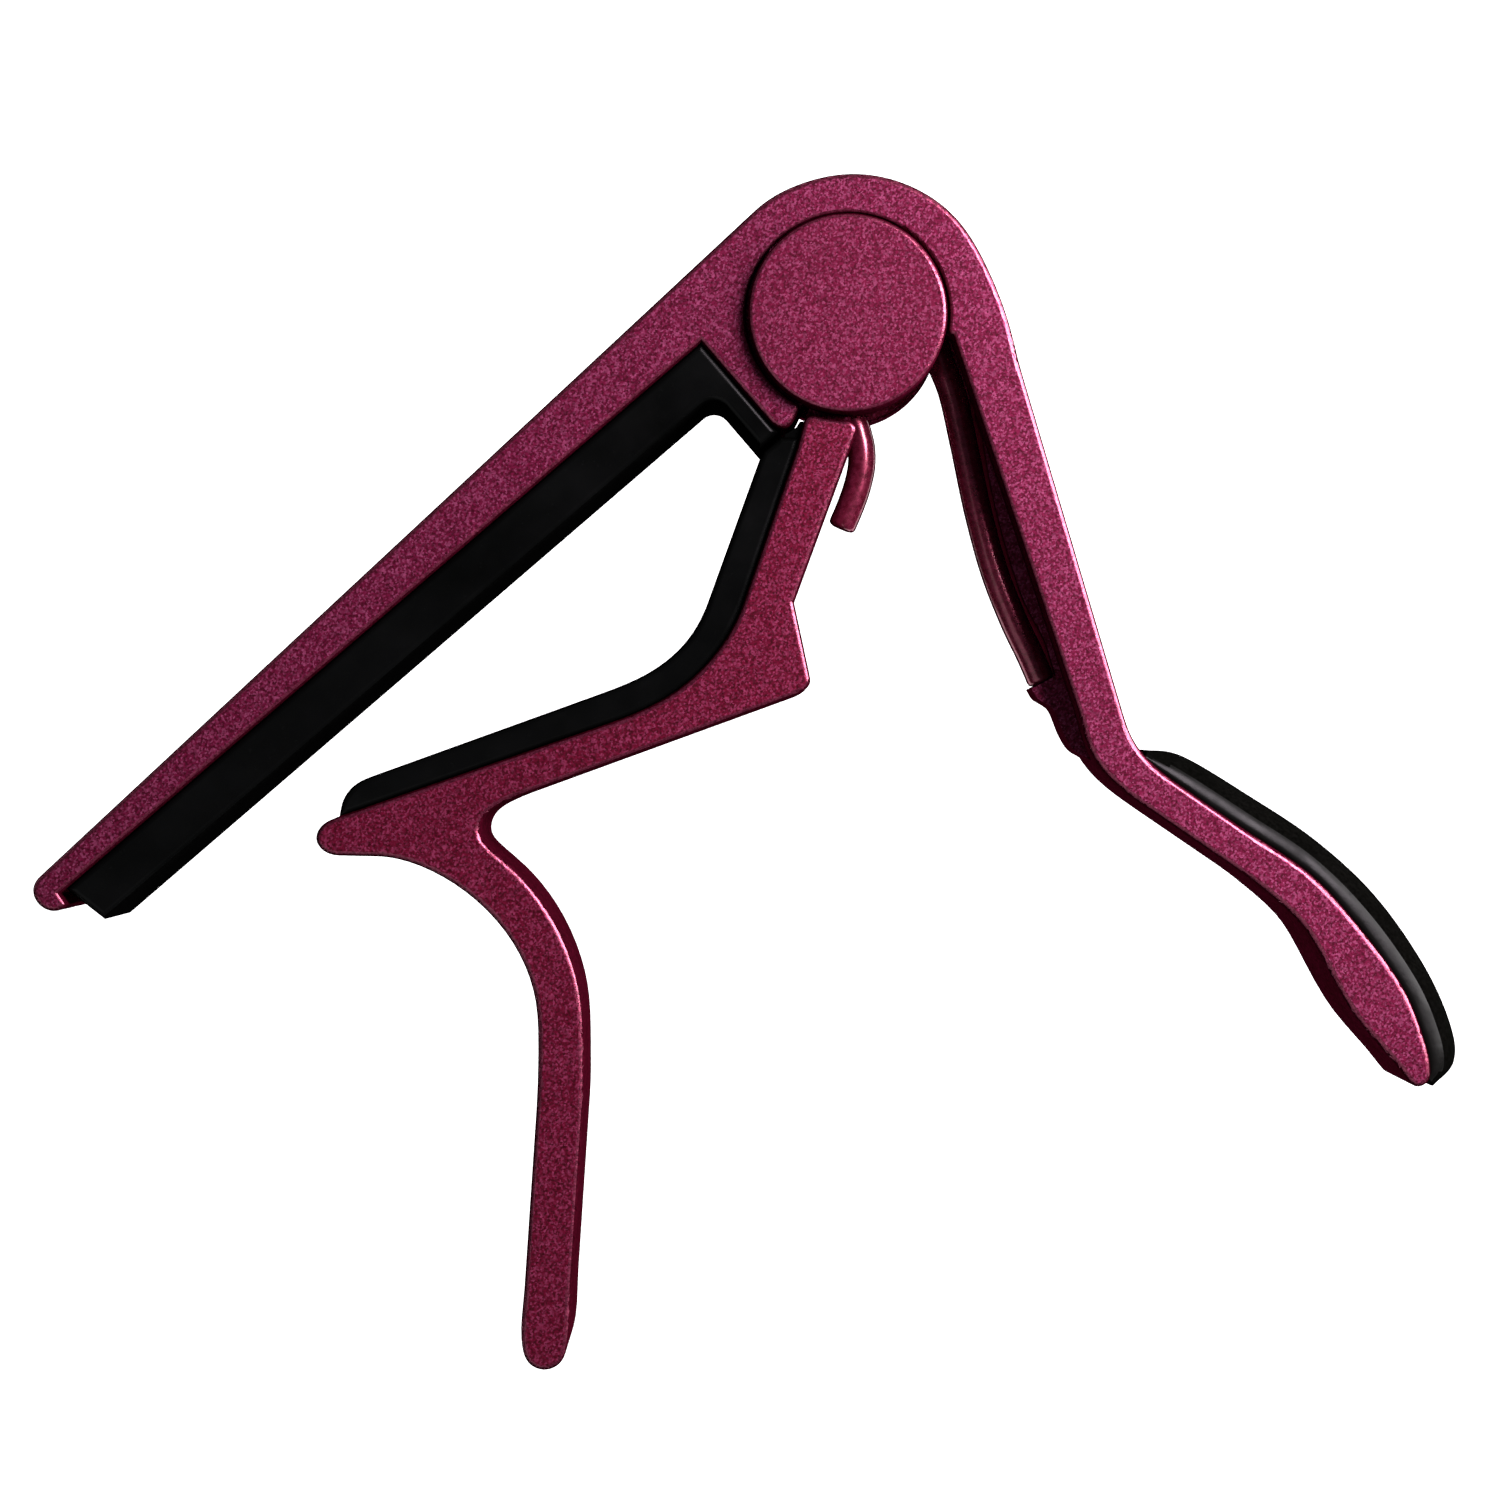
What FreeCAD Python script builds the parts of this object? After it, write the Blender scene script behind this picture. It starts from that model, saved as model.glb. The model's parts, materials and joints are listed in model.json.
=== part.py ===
import FreeCAD, Part
import os
from math import cos, sin, radians, hypot

# Trigger capo for a guitar, lying flat on its side.
# Origin: on the pivot axis, at the rest plane under the rear pivot cap.
# +Z runs along the pivot axis, +X towards the handle, +Y towards the elbow. Millimetres.

# ---- driving dimensions ---------------------------------------------------------------------
HALF = 6.5            # half the depth of both castings
PROUD = 1.3           # how far each pivot cap stands out of the casting
MID = HALF + PROUD    # height of the mid-plane above the rest plane
EDGE = 0.4            # rounding of the castings' outer edges

CAP_R = 7.3           # pivot caps
RECESS_R = 7.5        # recess the caps sit in
FLOOR = 5.5           # recess floor, from the mid-plane
CHEEK = 4.5           # inner face of the cheeks
WASHER = 4.25         # inner face of the washers
EAR_OUT = 4.2         # outer face of the lever's ears
EAR_IN = 3.15         # inner face of the lever's ears
EAR_R = 7.15
POCKET_R = 7.5        # pocket in the elbow for ears and coil
ARM_R = 7.75          # concentric top of the lever's arm

BARREL_R = 3.0
SCREW_R = 2.0
RUN = 0.05            # running clearance on the barrel
HEX = 3.0             # across the flats of the socket

WIRE_R = 1.05         # torsion spring
COIL_R = 5.95
TURNS = 620.0 / 360.0
COIL_HALF = TURNS * 2.12 / 2.0

PAD_T = 3.55          # string pad under the upper jaw
LEG_T = 1.75          # its short leg up the shoulder
PAD_HALF = 6.2
GRIP_HALF = 5.6

# ---- helpers --------------------------------------------------------------------------------


def vec(x, y, z=0.0):
    return FreeCAD.Vector(x, y, z)


def jaw(t, n):
    """Point t along the upper jaw's underside (towards the tip) and n below it."""
    return (-14.89 - 0.758 * t + 0.652 * n, -5.55 - 0.652 * t - 0.758 * n)


def polar(r, degrees):
    return (r * cos(radians(degrees)), r * sin(radians(degrees)))


def outline(start, steps):
    """Closed face: a pair is a straight line, a list a curve tangent to the lines beside it."""
    edges = []
    here = vec(*start)
    for i, step in enumerate(steps):
        if isinstance(step, list):
            points = [here] + [vec(*p) for p in step]
            after = (vec(*steps[i + 1]) - points[-1]).normalize()
            curve = Part.BSplineCurve()
            curve.interpolate(points, InitialTangent=heading, FinalTangent=after, Scale=False)
            edges.append(curve.toShape())
            here = points[-1]
        else:
            there = vec(*step)
            edges.append(Part.makeLine(here, there))
            heading = (there - here).normalize()
            here = there
    return Part.Face(Part.Wire(edges))


def slab(face, low, high):
    """Extrude a flat face between two heights measured from the mid-plane."""
    solid = face.extrude(vec(0, 0, high - low))
    solid.translate(vec(0, 0, MID + low))
    return solid


def ring(radius, low, high, bore=0.0):
    solid = Part.makeCylinder(radius, high - low, vec(0, 0, MID + low))
    if bore:
        solid = solid.cut(Part.makeCylinder(bore, high - low + 2, vec(0, 0, MID + low - 1)))
    return solid


def rim_edges(solid, height, keep=None):
    """Edges that lie wholly in the plane at this height from the mid-plane."""
    found = []
    for edge in solid.Solids[0].Edges:
        box = edge.BoundBox
        flat = abs(box.ZMin - MID - height) < 1e-4 and abs(box.ZMax - MID - height) < 1e-4
        if flat and (keep is None or keep(edge)):
            found.append(edge)
    return found


def soften(solid, radius, heights, keep=None):
    """Round the rims at these heights."""
    edges = []
    for height in heights:
        edges += rim_edges(solid, height, keep)
    return solid.Solids[0].makeFillet(radius, edges)


def on_recess(edge):
    """True for the rim of the pivot caps' recess."""
    return all(abs(hypot(v.X, v.Y) - RECESS_R) < 0.01 for v in edge.Vertexes)


def one_solid(shape):
    shape = shape.removeSplitter()
    solids = sorted(shape.Solids, key=lambda s: s.Volume)
    return solids[-1]


# ---- upper jaw frame: jaw arm, elbow and handle in one casting ------------------------------

elbow = [(0.4 + x, y - 0.11) for x, y in [polar(10.51, a) for a in (112, 90, 68, 44, 22)]]
frame_face = outline((0, 0), [
    (-3.95, -7.75),
    [(-4.5, -8.3), (-5.2, -8.25), (-5.9, -7.65)],
    jaw(-5.43, 0),
    jaw(56.8, 0),
    jaw(56.9, 0.97),
    jaw(57.3, 0.97),
    [jaw(57.95, 0.72), jaw(58.4, 0.1), jaw(58.5, -0.7), jaw(58.15, -1.5), jaw(57.2, -1.93)],
    (-6.75, 7.75),
    elbow + [(11.45, 0.75), (12.2, -1.7), (12.8, -4.1)],
    (20.4, -29.7),
    [(21.0, -31.2), (22.1, -32.7), (24.0, -34.3)],
    (28.8, -37.6),
    [(34.0, -41.1), (37.83, -45.26), (41.1, -49.9), (42.5, -53.5), (42.9, -55.5), (42.65, -56.5),
     (41.95, -56.8), (41.0, -56.0), (37.54, -51.88), (34.9, -47.3), (33.5, -45.0), (31.3, -42.85),
     (28.71, -40.85)],
    (22.24, -36.43),
    [(19.6, -34.4), (17.9, -32.2), (16.9, -29.0)],
    (9.2, -5.9),
    (7.75, -1.55),
    (7.2, -1.3),
    (0, 0),
])

# The low rib on the handle's inner wall that backs the spring's long leg, with a stop at its end
seat_face = outline((10.15, -8.6), [
    (10.33, -9.8),
    [(11.1, -13.85), (12.28, -18.16), (13.63, -21.73), (15.0, -24.5)],
    (15.6, -26.5),
    (13.8, -27.45),
    (14.1, -28.0),
    [(15.24, -28.82), (15.83, -29.94), (16.43, -31.3), (17.3, -32.3)],
    (19.5, -33.5),
    (18.0, -27.0),
    (11.5, -8.0),
    (10.15, -8.6),
])

# Slot in the elbow that lets the long leg out of the pocket
leg_slot = outline((5.0, 1.2), [
    (8.1, 1.2),
    (9.45, -3.0),
    (9.7, -8.5),
    (5.0, -8.5),
    (5.0, 1.2),
])

frame = slab(frame_face, -HALF, HALF)
frame = soften(frame, EDGE, [-HALF, HALF])
frame = frame.fuse(slab(seat_face, -3.0, 3.0))
frame = frame.cut(ring(RECESS_R, FLOOR, HALF + 1))
frame = frame.cut(ring(RECESS_R, -HALF - 1, -FLOOR))
frame = soften(frame, 0.3, [-HALF, HALF], on_recess)
frame = frame.fuse(ring(CAP_R, -FLOOR, FLOOR))
frame = frame.cut(ring(POCKET_R, -CHEEK, CHEEK))
frame = frame.cut(slab(leg_slot, -EAR_IN, EAR_IN))
frame = frame.cut(ring(BARREL_R + RUN, -HALF, HALF))

# ---- string pad: L-shaped, with a keying rib in the jaw's groove ----------------------------

pad_face = outline(jaw(-5.43, 0), [
    jaw(-5.43, 8.7),
    jaw(-5.43 + LEG_T, 8.7),
    jaw(-5.43 + LEG_T, PAD_T + 1.2),
    [jaw(-5.1 + LEG_T, PAD_T + 0.4), jaw(-4.2 + LEG_T, PAD_T)],
    jaw(55.6, PAD_T),
    jaw(56.3, 0),
    jaw(-5.43, 0),
])
rib_face = outline(jaw(0, 0.5), [jaw(0, -0.9), jaw(52, -0.9), jaw(52, 0.5), jaw(0, 0.5)])
rib = slab(rib_face, -1.6, 1.6)
string_pad = slab(pad_face, -PAD_HALF, PAD_HALF)
string_pad = soften(string_pad, 0.5, [-PAD_HALF, PAD_HALF])
string_pad = string_pad.fuse(rib)
frame = frame.cut(rib)

# ---- lower jaw lever: hub ears, bent jaw and finger lever in one casting --------------------

lever_face = outline((-3.75, -9.9), [
    (-2.85, -6.5),
    (1.45, -6.5),
    (-3.93, -21.14),
    (-2.8, -26.4),
    [(-2.75, -27.1), (-3.2, -27.65), (-4.0, -28.05)],
    (-23.2, -35.05),
    [(-25.6, -36.05), (-26.75, -37.0), (-27.0, -38.2), (-26.1, -39.4), (-24.45, -40.85),
     (-22.54, -43.05), (-20.6, -46.6), (-19.6, -50.2), (-19.38, -54.08), (-19.45, -58.49)],
    (-20.33, -71.73),
    [(-20.62, -75.9), (-21.1, -77.1), (-22.3, -77.65), (-23.5, -77.1), (-23.95, -75.9), (-23.79, -71.73)],
    (-22.9, -58.49),
    [(-22.76, -54.08), (-23.0, -50.3), (-24.4, -46.6), (-27.39, -43.05), (-30.9, -40.8),
     (-34.6, -39.86)],
    (-37.4, -39.8),
    [(-38.55, -39.45), (-39.1, -38.6), (-38.75, -37.65), (-37.9, -37.1)],
    (-37.42, -36.9),
    (-35.9, -36.4),
    (-17.4, -30.0),
    [(-12.8, -27.8), (-9.7, -24.9), (-7.7, -21.3)],
    (-3.75, -9.9),
])
ear_face = outline((0, 0), [
    polar(ARM_R + 1.2, 247.5),
    polar(ARM_R + 1.2, 272.5),
    (0, 0),
])
# Relief at the top of the arm for the spring's short leg
leg_relief = outline((-1.5, -6.5), [(-1.0, -8.2), (0.1, -10.4), (3.0, -10.4), (3.0, -6.5), (-1.5, -6.5)])

ears = []
for low, high in ((EAR_IN, EAR_OUT), (-EAR_OUT, -EAR_IN)):
    ears.append(ring(EAR_R, low, high).fuse(slab(ear_face, low, high)))
arm = slab(lever_face, -HALF, HALF).cut(ring(ARM_R, -HALF, HALF)).Solids[0]
corners = [e for e in arm.Edges if e.BoundBox.YMin > -7.9 and e.BoundBox.DiagonalLength < 13.01]
arm = arm.makeFillet(0.7, [e for e in corners if e.BoundBox.ZLength > 12])
lever = arm.fuse(ears).removeSplitter()
lever = lever.cut(ring(BARREL_R + RUN, -HALF, HALF)).cut(slab(leg_relief, -EAR_IN, EAR_IN))
lever = soften(lever, EDGE, [-HALF, HALF])

# ---- neck pad: follows the lower jaw's bend, with a keying rib ------------------------------

neck_face = outline((-3.75, -9.9), [
    (-7.7, -21.3),
    [(-9.7, -24.9), (-12.8, -27.8), (-17.4, -30.0)],
    (-35.9, -36.4),
    (-37.42, -36.9),
    (-37.3, -36.2),
    [(-37.0, -35.4), (-36.3, -34.6), (-34.8, -33.87)],
    (-18.6, -28.02),
    [(-14.6, -26.3), (-11.7, -23.8), (-10.3, -21.2)],
    (-6.5, -10.7),
    (-6.2, -10.05),
    (-4.95, -8.98),
    (-3.4, -8.98),
    (-3.75, -9.9),
])
key_face = outline((-19.0, -30.0), [(-32.0, -34.5), (-31.6, -35.8), (-18.6, -31.3), (-19.0, -30.0)])
# Thin lip that closes the slit between the lever's arm and the frame's shoulder
lip_face = outline((-4.6, -9.3), [
    (-4.6, -8.75),
    (-4.4, -8.67),
    (-3.77, -8.25),
    (-3.49, -7.8),
    (-3.1, -7.8),
    (-3.5, -9.3),
    (-4.6, -9.3),
])
key = slab(key_face, -1.6, 1.6)
neck_pad = slab(neck_face, -PAD_HALF, PAD_HALF)
neck_pad = neck_pad.cut(slab(lever_face, -HALF, HALF))
neck_pad = soften(neck_pad, 0.45, [-PAD_HALF, PAD_HALF])
neck_pad = neck_pad.fuse([key, slab(lip_face, -5.7, 5.7).cut(lever)]).removeSplitter()
lever = lever.cut(key)

# ---- handle grip: crowned rubber on the outer side of the handle's end ----------------------

grip_face = outline((21.6, -32.2), [
    (22.4, -32.0),
    [(25.2, -32.45), (28.2, -34.1), (31.2, -36.1), (34.2, -38.05), (37.2, -40.3), (39.6, -42.85),
     (42.05, -46.0), (43.85, -49.2), (45.05, -51.9), (45.5, -54.0), (45.3, -56.0), (44.3, -57.1),
     (43.2, -56.9)],
    (39.0, -53.0),
    (30.2, -41.5),
    (21.6, -32.2),
])
grip = slab(grip_face, -GRIP_HALF, GRIP_HALF)
grip = grip.cut(slab(frame_face, -HALF, HALF))
grip = one_solid(grip)


def crown_edge(edge):
    """True for the rim on the grip's outer side."""
    middle = edge.valueAt((edge.FirstParameter + edge.LastParameter) / 2)
    return middle.x > 32 and middle.x + 0.6 * middle.y > 12.5


grip = soften(grip, 0.65, [-GRIP_HALF, GRIP_HALF], crown_edge)

# ---- pivot: capped barrel, cap screw, washers and bush --------------------------------------

cap = ring(CAP_R, FLOOR, MID)
cap = soften(cap, 0.35, [MID])
barrel = ring(BARREL_R, -FLOOR + 0.1, FLOOR)
pivot_barrel = cap.fuse(barrel).removeSplitter()
pivot_barrel = pivot_barrel.cut(ring(SCREW_R + 0.02, -FLOOR, 2.0))

hexagon = [vec(*polar(HEX / 2 / cos(radians(30)), 60 * i)) for i in range(7)]
socket = slab(Part.Face(Part.makePolygon(hexagon)), -MID, -FLOOR - 0.3)
screw_head = soften(ring(CAP_R, -MID, -FLOOR), 0.35, [-MID])
shank = ring(SCREW_R, -FLOOR, 0.5)
pivot_screw = screw_head.fuse(shank).removeSplitter().cut(socket)

front_washer = ring(6.9, WASHER, CHEEK, BARREL_R + RUN)
rear_washer = ring(6.9, -CHEEK, -WASHER, BARREL_R + RUN)
spring_bush = ring(4.6, -EAR_IN + 0.1, EAR_IN - 0.1, BARREL_R + RUN)

# ---- torsion spring: coil, long leg on the handle, short leg on the lever -------------------


def coil_point(angle):
    """The coil climbs backwards from the long leg at the front to the short leg at the rear."""
    share = angle / (TURNS * 360.0)
    return vec(*polar(COIL_R, angle), MID + COIL_HALF - 2 * COIL_HALF * share)


long_leg = [(14.55, -26.9), (13.5, -24.9), (12.3, -22.3), (10.9, -18.6), (9.7, -14.2), (8.75, -9.5),
            (7.9, -5.4), (6.9, -2.6)]
short_leg = [(0.25, -6.75), (1.1, -8.4), (1.4, -10.2), (1.15, -11.9), (0.65, -13.45), (-0.15, -15.3)]
path = [vec(x, y, MID + COIL_HALF) for x, y in long_leg]
path += [coil_point(20.0 * i) for i in range(1, 31)]
path += [vec(x, y, MID - COIL_HALF) for x, y in short_leg]
centre = Part.BSplineCurve()
centre.interpolate(path)
spine = Part.Wire(centre.toShape())
start_dir = centre.tangent(centre.FirstParameter)[0]
profile = Part.Wire(Part.makeCircle(WIRE_R, path[0], start_dir))
spring = spine.makePipeShell([profile], True, True)

# ---- parts ----------------------------------------------------------------------------------

parts = {
    "upper_jaw_frame": frame,
    "lower_jaw_lever": lever,
    "string_pad": string_pad,
    "neck_pad": neck_pad,
    "handle_grip": grip,
    "pivot_barrel": pivot_barrel,
    "pivot_screw": pivot_screw,
    "torsion_spring": spring,
    "spring_bush": spring_bush,
    "front_washer": front_washer,
    "rear_washer": rear_washer,
}
os.makedirs("parts", exist_ok=True)
for name, shape in parts.items():
    solid = one_solid(shape)
    solid.exportStep("parts/" + name + ".step")
    print(name, len(shape.Solids), solid.isValid(), round(solid.Volume, 1))
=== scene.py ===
import json
import math

import bpy
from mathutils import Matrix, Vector


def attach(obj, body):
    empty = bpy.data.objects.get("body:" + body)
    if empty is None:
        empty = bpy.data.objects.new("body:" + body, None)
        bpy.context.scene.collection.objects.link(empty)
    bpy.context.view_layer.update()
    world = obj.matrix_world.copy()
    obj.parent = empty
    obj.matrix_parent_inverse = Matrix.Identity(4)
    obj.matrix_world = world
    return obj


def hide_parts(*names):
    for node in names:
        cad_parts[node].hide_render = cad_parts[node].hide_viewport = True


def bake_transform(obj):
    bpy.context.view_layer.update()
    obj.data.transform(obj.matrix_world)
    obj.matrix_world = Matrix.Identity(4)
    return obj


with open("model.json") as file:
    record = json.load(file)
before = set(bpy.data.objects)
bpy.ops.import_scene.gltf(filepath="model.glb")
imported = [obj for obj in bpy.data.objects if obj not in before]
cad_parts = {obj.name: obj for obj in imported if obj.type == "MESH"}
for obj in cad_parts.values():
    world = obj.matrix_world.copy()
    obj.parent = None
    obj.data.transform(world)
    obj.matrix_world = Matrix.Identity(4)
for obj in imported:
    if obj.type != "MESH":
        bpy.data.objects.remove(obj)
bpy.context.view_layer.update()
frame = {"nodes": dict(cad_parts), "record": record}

scene = bpy.context.scene
nodes = frame["nodes"]

MM = 0.001
MID = 7.8 * MM          # mid-plane of the capo, above the rest plane
HALF = 6.5 * MM         # half the castings' depth


# ---- meshes ---------------------------------------------------------------------------------

def new_piece(name, verts, faces):
    """A linked object with a new mesh."""
    mesh = bpy.data.meshes.new(name)
    mesh.from_pydata([tuple(v) for v in verts], [], faces)
    mesh.update()
    obj = bpy.data.objects.new(name, mesh)
    scene.collection.objects.link(obj)
    return obj


def curve_through(points, count):
    """Catmull-Rom curve through the points, with count(a, b) samples from point a to point b."""
    made = []
    for i in range(len(points) - 1):
        p0 = points[i - 1] if i else points[0] * 2 - points[1]
        p1, p2 = points[i], points[i + 1]
        p3 = points[i + 2] if i + 2 < len(points) else p2 * 2 - p1
        n = count(p1, p2)
        for k in range(n):
            t = k / n
            made.append(0.5 * (2 * p1 + (p2 - p0) * t + (2 * p0 - 5 * p1 + 4 * p2 - p3) * t * t
                               + (3 * p1 - p0 - 3 * p2 + p3) * t ** 3))
    made.append(points[-1])
    return made


def at_height(points, height):
    """Points given in millimetres, as vectors at one height."""
    return [Vector((x * MM, y * MM, height)) for x, y in points]


# ---- materials ------------------------------------------------------------------------------

MIX_FACTOR, MIX_A, MIX_B, MIX_RESULT = 0, 6, 7, 2   # the colour sockets of a mix node


class Graph:
    """A small helper round one material's node tree."""

    def __init__(self, name):
        self.mat = bpy.data.materials.new(name)
        self.mat.use_nodes = True
        self.tree = self.mat.node_tree
        self.shader = self.tree.nodes["Principled BSDF"]
        self.place = self.add("ShaderNodeTexCoord").outputs["Object"]

    def add(self, kind, **values):
        node = self.tree.nodes.new(kind)
        for key, value in values.items():
            if key in node.inputs:
                node.inputs[key].default_value = value
            else:
                setattr(node, key, value)
        return node

    def link(self, out, into):
        self.tree.links.new(out, into)

    def noise(self, per_m, detail=2.0, rough=0.5):
        node = self.add("ShaderNodeTexNoise", Scale=per_m, Detail=detail, Roughness=rough)
        self.link(self.place, node.inputs["Vector"])
        return node.outputs["Fac"]

    def cells(self, per_m):
        node = self.add("ShaderNodeTexVoronoi", Scale=per_m)
        self.link(self.place, node.inputs["Vector"])
        return node.outputs["Color"]

    def span(self, fac, low, high, to_low=0.0, to_high=1.0):
        node = self.add("ShaderNodeMapRange")
        limits = {"From Min": low, "From Max": high, "To Min": to_low, "To Max": to_high}
        for name, value in limits.items():
            node.inputs[name].default_value = value
        self.link(fac, node.inputs["Value"])
        return node.outputs["Result"]

    def mix(self, fac, a, b):
        node = self.add("ShaderNodeMix", data_type="RGBA")
        self.link(fac, node.inputs[MIX_FACTOR])
        for value, socket in ((a, node.inputs[MIX_A]), (b, node.inputs[MIX_B])):
            if isinstance(value, tuple):
                socket.default_value = (*value, 1.0)
            else:
                self.link(value, socket)
        return node.outputs[MIX_RESULT]

    def bump(self, height, strength, depth):
        node = self.add("ShaderNodeBump", Strength=strength, Distance=depth)
        self.link(height, node.inputs["Height"])
        return node.outputs["Normal"]

    def finish(self, color, rough, normal, **constants):
        self.link(color, self.shader.inputs["Base Color"])
        self.link(rough, self.shader.inputs["Roughness"])
        self.link(normal, self.shader.inputs["Normal"])
        for key, value in constants.items():
            self.shader.inputs[key.replace("_", " ")].default_value = value
        return self.mat


GRAIN = 5300.0          # the paint's grain, per metre


def sparkle_paint(name, tone, deep, flake):
    """Satin metallic paint: a mottled base full of fine flakes under a soft clear coat."""
    g = Graph(name)
    mottle = g.span(g.noise(GRAIN, 2.0, 0.6), 0.39, 0.61)
    base = g.mix(mottle, deep, tone)
    flakes = g.span(g.cells(GRAIN * 1.4), 0.5, 0.9, 0.0, 0.85)
    base = g.mix(flakes, base, flake)
    drift = g.span(g.noise(55.0, 2.0), 0.35, 0.65, 0.0, 0.12)
    base = g.mix(drift, base, deep)
    rough = g.span(g.noise(GRAIN * 0.8, 2.0), 0.3, 0.7, 0.38, 0.56)
    peel = g.bump(g.noise(1900.0, 3.0, 0.6), 0.2, 0.00004)
    return g.finish(base, rough, peel, Metallic=0.6, Coat_Weight=0.08, Coat_Roughness=0.4,
                    Specular_IOR_Level=0.25)


def painted_highlight_edge_of(name, tone, deep):
    """The rounded edges of a casting, under a thicker, glossier coat, in a lighter and whiter tone as
    painted highlight.
    """
    g = Graph(name)
    base = g.mix(g.span(g.noise(4700.0, 2.0, 0.6), 0.37, 0.63), deep, tone)
    rough = g.span(g.noise(2600.0, 2.0), 0.3, 0.7, 0.2, 0.42)
    normal = g.bump(g.noise(1700.0, 3.0, 0.65), 0.8, 0.00006)
    return g.finish(base, rough, normal, Metallic=0.75, Coat_Weight=0.55, Coat_Roughness=0.25)


def side_of(name, tone, deep):
    """The sides of a piece, moulded or cast and left dull; on the painted parts in a darker tone of
    the same colour, as painted shade.
    """
    g = Graph(name)
    base = g.mix(g.span(g.noise(3800.0, 2.0, 0.6), 0.35, 0.65), deep, tone)
    base = g.mix(g.span(g.noise(260.0, 3.0), 0.4, 0.7, 0.0, 0.5), base, deep)
    rough = g.span(g.noise(900.0, 2.0), 0.3, 0.7, 0.75, 0.9)
    normal = g.bump(g.noise(1900.0, 3.0, 0.6), 0.3, 0.00004)
    return g.finish(base, rough, normal, Specular_IOR_Level=0.0)


def wire_paint(name, tone, deep):
    """The frame's colour on the wire, smoother and glossier; its tone is given lighter, as painted
    highlight.
    """
    g = Graph(name)
    base = g.mix(g.span(g.noise(2600.0, 3.0), 0.35, 0.65), deep, tone)
    rough = g.span(g.noise(1500.0, 2.0), 0.3, 0.7, 0.2, 0.33)
    normal = g.bump(g.noise(2200.0, 4.0, 0.7), 0.3, 0.00004)
    return g.finish(base, rough, normal, Metallic=0.6, Coat_Weight=1.0, Coat_Roughness=0.16)


def silicone(name, tone, dust, low=0.22, high=0.34, grain=900.0, strength=0.12):
    """Black moulded silicone: nearly smooth, with a little dust and a faint mould grain."""
    g = Graph(name)
    specks = g.span(g.noise(2400.0, 2.0, 0.7), 0.66, 0.8, 0.0, 0.5)
    base = g.mix(specks, tone, dust)
    base = g.mix(g.span(g.noise(90.0, 3.0), 0.4, 0.7, 0.0, 0.4), base, dust)
    rough = g.span(g.noise(320.0, 3.0), 0.3, 0.7, low, high)
    fine = g.bump(g.noise(grain, 3.0, 0.6), strength, 0.00008)
    return g.finish(base, rough, fine, Specular_IOR_Level=0.12)


def plastic(name, tone, shade):
    """Moulded plastic, a little uneven in tone."""
    g = Graph(name)
    base = g.mix(g.span(g.noise(700.0, 3.0), 0.35, 0.65), shade, tone)
    rough = g.span(g.noise(1200.0, 2.0), 0.3, 0.7, 0.42, 0.58)
    return g.finish(base, rough, g.bump(g.noise(1600.0, 2.0), 0.1, 0.00003))


PAD = (0.0012, 0.0014, 0.0013)
PAD_DUST = (0.006, 0.0065, 0.0065)
PAD_SIDE = (0.0016, 0.0017, 0.0016)
PAD_SIDE_DEEP = (0.0008, 0.0008, 0.0008)

finishes = {
    "frame_paint": sparkle_paint(
        "frame_paint", (0.215, 0.007, 0.052), (0.075, 0.001, 0.013), (0.47, 0.085, 0.21)),
    # The lever's paint is given darker and redder than the frame's: painted shade for the lower part
    # of the capo, further from the lamps.
    "lever_paint": sparkle_paint(
        "lever_paint", (0.200, 0.003, 0.032), (0.068, 0.001, 0.008), (0.43, 0.055, 0.15)),
    "cap_paint": sparkle_paint(
        "cap_paint", (0.205, 0.006, 0.046), (0.080, 0.001, 0.014), (0.42, 0.075, 0.18)),
    # The wire's tone is lighter than the castings' paint: painted highlight.
    "spring_paint": wire_paint("spring_paint", (0.340, 0.030, 0.085), (0.190, 0.010, 0.034)),
    "string_pad_silicone": silicone("string_pad_silicone", PAD, PAD_DUST),
    "neck_pad_silicone": silicone("neck_pad_silicone", PAD, PAD_DUST),
    "grip_rubber": silicone(
        "grip_rubber", (0.003, 0.003, 0.0027), (0.010, 0.010, 0.009), 0.24, 0.5, 420.0, 0.7),
    "bush_plastic": plastic("bush_plastic", (0.05, 0.05, 0.05), (0.03, 0.03, 0.03)),
    "washer_plastic": plastic("washer_plastic", (0.62, 0.62, 0.58), (0.5, 0.5, 0.46)),
}

# Sides of the painted metal and the wire get tones far darker than their fronts: painted shade. The
# pads' and plastics' sides keep their own colour.
sides = {
    "frame_paint": side_of("frame_sides_painted_shade", (0.052, 0.002, 0.010), (0.018, 0.001, 0.003)),
    "lever_paint": side_of("lever_sides_painted_shade", (0.052, 0.002, 0.009), (0.018, 0.001, 0.003)),
    "cap_paint": side_of("cap_sides_painted_shade", (0.070, 0.003, 0.014), (0.024, 0.001, 0.004)),
    "spring_paint": side_of("spring_sides_painted_shade", (0.070, 0.004, 0.014), (0.030, 0.002, 0.005)),
    "string_pad_silicone": side_of("string_pad_sides", PAD_SIDE, PAD_SIDE_DEEP),
    "neck_pad_silicone": side_of("neck_pad_sides", PAD_SIDE, PAD_SIDE_DEEP),
    "grip_rubber": side_of("grip_sides", (0.003, 0.003, 0.0026), (0.0012, 0.0012, 0.001)),
    "bush_plastic": side_of("bush_sides", (0.05, 0.05, 0.05), (0.03, 0.03, 0.03)),
    "washer_plastic": side_of("washer_sides", (0.5, 0.5, 0.47), (0.4, 0.4, 0.37)),
}

# The painted parts' rounded edges get a lighter, whiter tone than their fronts: painted highlight.
edge_painted_highlight = painted_highlight_edge_of("edge_painted_highlight", (0.34, 0.05, 0.11), (0.16, 0.012, 0.04))
edges = {"frame_paint": edge_painted_highlight, "lever_paint": edge_painted_highlight, "cap_paint": edge_painted_highlight}

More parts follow.
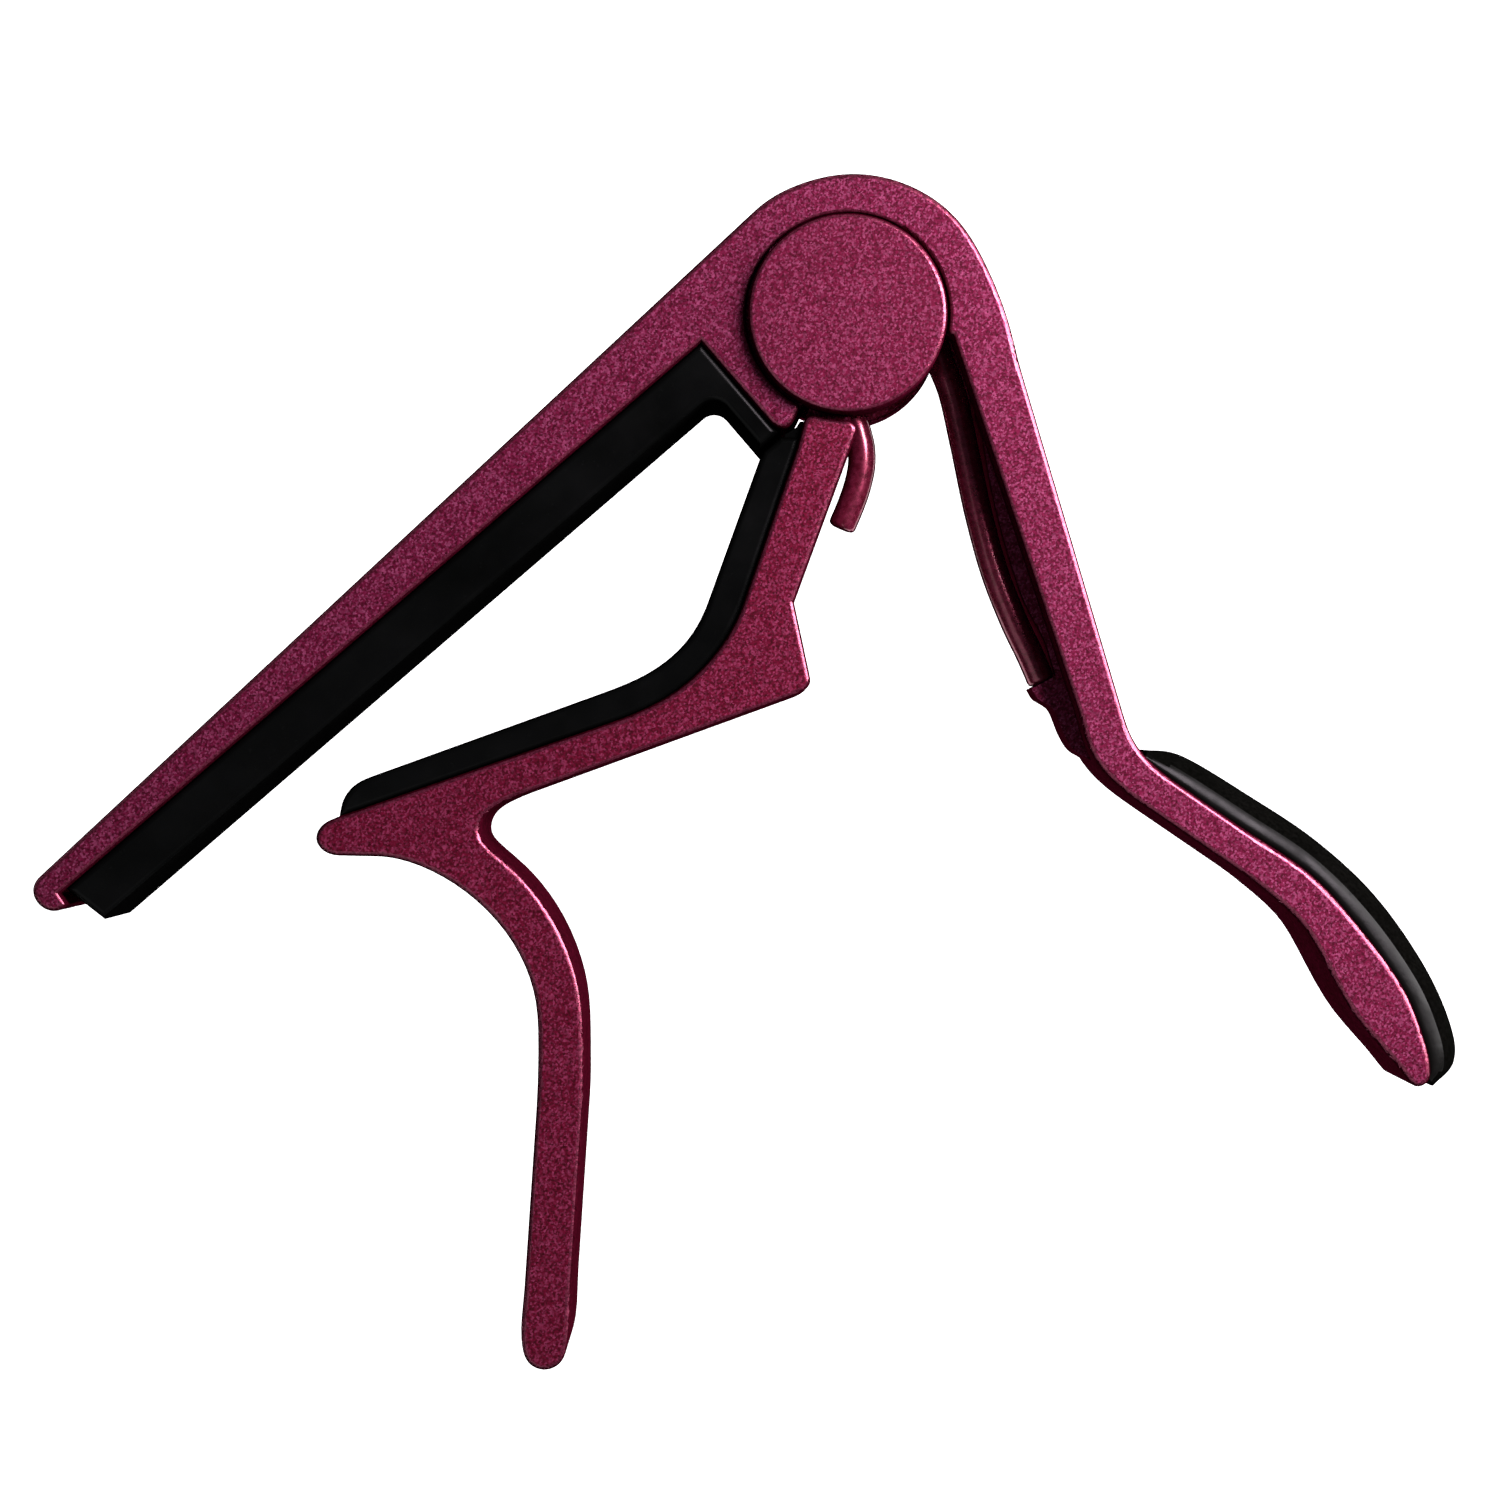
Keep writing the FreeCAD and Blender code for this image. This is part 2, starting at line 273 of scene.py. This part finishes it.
LEVEL = 0.985           # a face whose normal's z is at least this looks along the pivot
FINISH, SIDE, EDGE = 0, 1, 2


def dress(obj, slot, steep=0.72):
    """Faces that look along the pivot get the finish, rounded edges their own (lighter on painted
    metal, as painted highlight), sides a dull one (darker on painted metal and wire, as painted
    shade).
    """
    obj.data.materials.clear()
    for finish in (finishes[slot], sides[slot], edges.get(slot, finishes[slot])):
        obj.data.materials.append(finish)
    for face in obj.data.polygons:
        facing = abs(face.normal.z)
        if facing < steep:
            face.material_index = SIDE
        elif facing < LEVEL:
            face.material_index = EDGE
        else:
            face.material_index = FINISH


slots = {part["node"]: part["material_slot"] for part in frame["record"]["subparts"]}
for name, obj in nodes.items():
    dress(obj, slots[name])


# ---- torsion spring: one continuous wire ----------------------------------------------------

WIRE_R = 1.05 * MM
WIRE_STEP = 0.35 * MM   # distance between the wire's rings
WIRE_SIDES = 28
WIRE_ENDS = (0.62, 0.84, 0.96, 1.0)      # the first rings' share of the radius, at each cut end
CUT_EDGE = 0.08 * MM
COIL_R = 5.95 * MM
COIL_PITCH = 2.12 * MM
SWEEP = 620.0           # degrees that the coil turns through
RISE = SWEEP / 360.0 * COIL_PITCH / 2.0  # half the coil's height along the pivot
COIL_STEP = 20          # degrees from one point of the coil to the next
COIL_POINTS = 30


def ring_count(a, b):
    """How many rings the wire has from point a to point b."""
    return max(2, round((b - a).length / WIRE_STEP))


def tube(name, spine, radius):
    """A round wire along the spine, with flat cut ends and slightly broken edges."""
    n = WIRE_SIDES
    verts, faces = [], []
    side = Vector((0, 0, 1))
    last = len(spine) - 1
    for i, p in enumerate(spine):
        along = (spine[min(i + 1, last)] - spine[max(i - 1, 0)]).normalized()
        side = (side - along * side.dot(along)).normalized()
        up = along.cross(side)
        inset = WIRE_ENDS[min(i, last - i, 3)]
        for k in range(n):
            a = 2 * math.pi * k / n
            verts.append(p + (side * math.cos(a) + up * math.sin(a)) * radius * inset)
    for i in range(last):
        for k in range(n):
            j = (k + 1) % n
            faces.append((i * n + k, i * n + j, (i + 1) * n + j, (i + 1) * n + k))
    faces.append(tuple(reversed(range(n))))
    faces.append(tuple(last * n + k for k in range(n)))
    obj = new_piece(name, verts, faces)
    for face in obj.data.polygons:
        face.use_smooth = len(face.vertices) == 4
    return obj


def trimmed(spine):
    """Close rings at both ends, so that the wire's cut edges are only slightly rounded."""
    def end(a, b):
        along = (b - a).normalized()
        return [a, a + along * CUT_EDGE, a + along * CUT_EDGE * 2.5, a + along * CUT_EDGE * 5]
    return end(spine[0], spine[1]) + spine[2:-2] + list(reversed(end(spine[-1], spine[-2])))


long_leg = [(14.65, -27.0), (13.74, -24.9), (12.5, -22.3), (11.06, -18.6), (9.86, -14.2), (8.87, -9.5),
            (7.95, -5.4), (6.9, -2.6)]
short_leg = [(0.25, -6.75), (1.1, -8.4), (1.3, -10.2), (1.0, -11.9), (0.48, -13.45), (-0.3, -15.3)]
path = at_height(long_leg, MID + RISE)
for i in range(1, COIL_POINTS + 1):
    turn = math.radians(COIL_STEP * i)
    height = MID + RISE - 2 * RISE * (COIL_STEP * i / SWEEP)
    path.append(Vector((COIL_R * math.cos(turn), COIL_R * math.sin(turn), height)))
path += at_height(short_leg, MID - RISE)
spring = tube("spring_wire", trimmed(curve_through(path, ring_count)), WIRE_R)
dress(spring, "spring_paint", 0.4)
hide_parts("torsion_spring")
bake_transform(spring)


# ---- handle grip: a crowned rubber pad, level beside the metal and rounded away from it -----

GRIP_HALF = 5.6 * MM
STATIONS = 20           # sections from one point of the pad's outline to the next
RIBS = 24               # faces round each section
CROWN = 0.8             # below 1 the section is squarer than a half round

grip_inner = [(21.9, -32.55), (24.0, -34.35), (28.8, -37.65), (34.0, -41.15), (37.8, -45.3),
              (41.05, -49.95), (42.45, -53.5), (42.85, -55.5), (42.8, -56.2)]
grip_outer = [(22.3, -31.98), (25.2, -32.45), (30.2, -35.4), (35.2, -38.75), (39.6, -42.85),
              (43.2, -47.95), (45.2, -52.35), (45.45, -55.2), (43.7, -57.1)]


def station_count(a, b):
    """The pad has as many sections from any point to the next."""
    return STATIONS


def crowned_pad(name, inner, outer, half):
    """A pad between two curves, whose section is a squarish half round."""
    near = curve_through(at_height(inner, MID), station_count)
    far = curve_through(at_height(outer, MID), station_count)
    verts, faces = [], []
    for a, b in zip(near, far):
        for k in range(RIBS + 1):
            turn = math.pi * (k / RIBS - 0.5)
            out = max(math.cos(turn), 0.0) ** CROWN
            rise = math.copysign(abs(math.sin(turn)) ** CROWN, turn) * half
            verts.append(a + (b - a) * out + Vector((0, 0, rise)))
    row = RIBS + 1
    for i in range(len(near) - 1):
        for k in range(row):
            j = (k + 1) % row
            faces.append((i * row + k, (i + 1) * row + k, (i + 1) * row + j, i * row + j))
    last = (len(near) - 1) * row
    faces.append(tuple(range(row)))
    faces.append(tuple(last + k for k in reversed(range(row))))
    obj = new_piece(name, verts, faces)
    for face in obj.data.polygons:
        face.use_smooth = len(face.vertices) == 4 and face.index % row != RIBS
    return obj


grip = crowned_pad("grip_pad", grip_inner, grip_outer, GRIP_HALF)
dress(grip, "grip_rubber", 0.8)
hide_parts("handle_grip")
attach(grip, "frame_body")


# ---- floor, light and camera ----------------------------------------------------------------

FLOOR = -0.25           # the floor lies well below the part, so that no shadow shows on it
FLOOR_REACH = 3.0
FLOOR_CELLS = 24
CENTRE = (-0.007, -0.032, 0.006)         # the middle of the part, where the lights point
OVER_FLOOR = (-0.007, -0.032, -0.04)
UNDER_PART = (-0.007, -0.032, FLOOR)
CAMERA_ABOVE = 0.280    # from the castings' front face
LENS = 91.4             # millimetres, on a 36 mm wide sensor


def floor_piece():
    """A plain pale floor."""
    n = FLOOR_CELLS
    verts = [((i / n - 0.5) * 2 * FLOOR_REACH, (j / n - 0.5) * 2 * FLOOR_REACH, FLOOR)
             for j in range(n + 1) for i in range(n + 1)]
    faces = [(j * (n + 1) + i, j * (n + 1) + i + 1, (j + 1) * (n + 1) + i + 1, (j + 1) * (n + 1) + i)
             for j in range(n) for i in range(n)]
    obj = new_piece("floor", verts, faces)
    g = Graph("pale_floor")
    base = g.mix(g.span(g.noise(40.0, 4.0), 0.3, 0.7), (0.86, 0.86, 0.86), (0.9, 0.9, 0.9))
    rough = g.span(g.noise(300.0, 2.0), 0.3, 0.7, 0.7, 0.85)
    obj.data.materials.append(g.finish(base, rough, g.bump(g.noise(900.0), 0.02, 0.0001)))


def soft_light(name, place, target, width, height, power, color=(1, 1, 1)):
    """A rectangular area light that faces the target."""
    light = bpy.data.lights.new(name, "AREA")
    light.shape = "RECTANGLE"
    light.size = width
    light.size_y = height
    light.energy = power
    light.color = color
    obj = bpy.data.objects.new(name, light)
    obj.location = place
    obj.rotation_euler = (Vector(target) - Vector(place)).to_track_quat("-Z", "Y").to_euler()
    scene.collection.objects.link(obj)


floor_piece()
soft_light("window", (0.12, 0.06, 0.16), CENTRE, 0.09, 0.09, 0.60, (1.0, 0.88, 0.97))
soft_light("side", (0.34, 0.07, 0.10), CENTRE, 0.16, 0.34, 2.2, (1.0, 0.96, 0.98))
soft_light("fill", (-0.22, -0.30, 0.42), CENTRE, 0.45, 0.45, 0.3)
soft_light("sheet", OVER_FLOOR, UNDER_PART, 5.0, 5.0, 100.0)

world = bpy.data.worlds.new("studio")
scene.world = world
world.use_nodes = True
sky = world.node_tree.nodes["Background"]
sky.inputs["Color"].default_value = (0.93, 0.95, 1.0, 1.0)
sky.inputs["Strength"].default_value = 0.03

camera_data = bpy.data.cameras.new("camera")
camera_data.sensor_width = 36.0
camera_data.lens = LENS
camera_data.clip_start = 0.01
camera = bpy.data.objects.new("camera", camera_data)
camera.location = (-7.17 * MM, -32.02 * MM, MID + HALF + CAMERA_ABOVE)
scene.collection.objects.link(camera)
scene.camera = camera
scene.view_settings.view_transform = "Standard"
scene.view_settings.look = "None"
